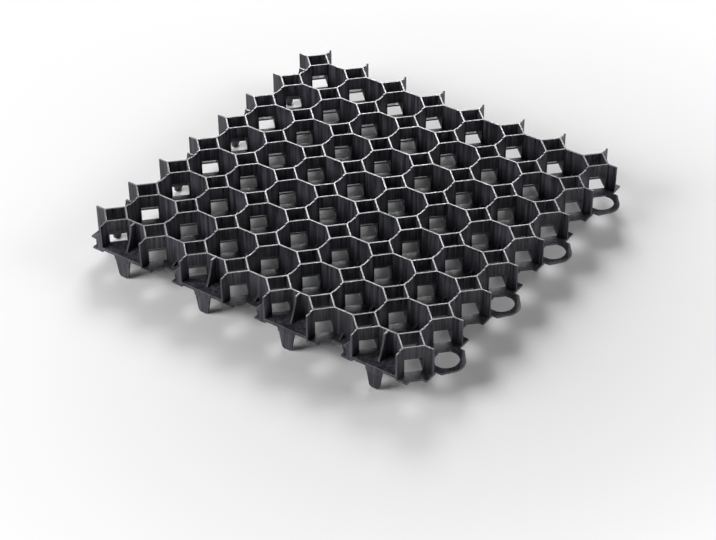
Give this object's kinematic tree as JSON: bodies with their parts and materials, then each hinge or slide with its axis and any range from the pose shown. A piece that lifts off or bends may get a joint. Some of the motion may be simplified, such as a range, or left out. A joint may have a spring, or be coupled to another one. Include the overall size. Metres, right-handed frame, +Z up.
{
  "type": "grass paver grid",
  "caption": "Square moulded plastic ground grid of octagon and small square cells, with pegs on two sides and rings on the other two for joining to the next grid.",
  "frame": {"origin": "on the floor plane under the middle of the bounding box; the pegs' tips are at z = 0", "axes": "+Z up; +X towards the ring side seen at the right front, +Y towards the back ring side; pegs on the -X and -Y sides"},
  "size_m": [0.5209, 0.5209, 0.067],
  "materials": {
    "plastic": "satin moulded, black"
  },
  "bodies": {
    "root": {"paver_grid": "plastic"}
  },
  "joints": []
}
